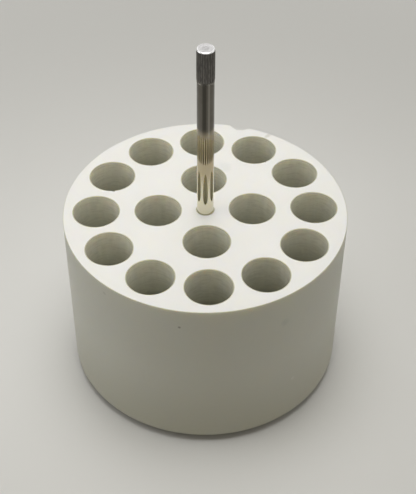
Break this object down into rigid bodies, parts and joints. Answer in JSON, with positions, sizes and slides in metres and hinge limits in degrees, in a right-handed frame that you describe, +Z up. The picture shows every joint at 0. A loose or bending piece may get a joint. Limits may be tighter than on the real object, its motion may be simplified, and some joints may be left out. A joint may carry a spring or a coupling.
{
  "type": "centrifuge tube adapter",
  "caption": "Round plastic block drilled with two rings of deep round-bottomed tube sockets, with a thin steel lifting rod with a knurled end at its centre.",
  "frame": {"origin": "centre of the underside, where the block rests", "axes": "+Z up along the rod; -Y towards the front, where one socket of each ring lies"},
  "size_m": [0.086, 0.086, 0.1155],
  "materials": {
    "block_plastic": "fine machined pebble-grey plastic, matt, with broken edges, light scuffs and a chipped rim",
    "rod_steel": "turned and polished steel with fine rings, straight knurl at the top"
  },
  "bodies": {
    "root": {"tube_block": "block_plastic", "lifting_rod": "rod_steel"}
  },
  "joints": []
}
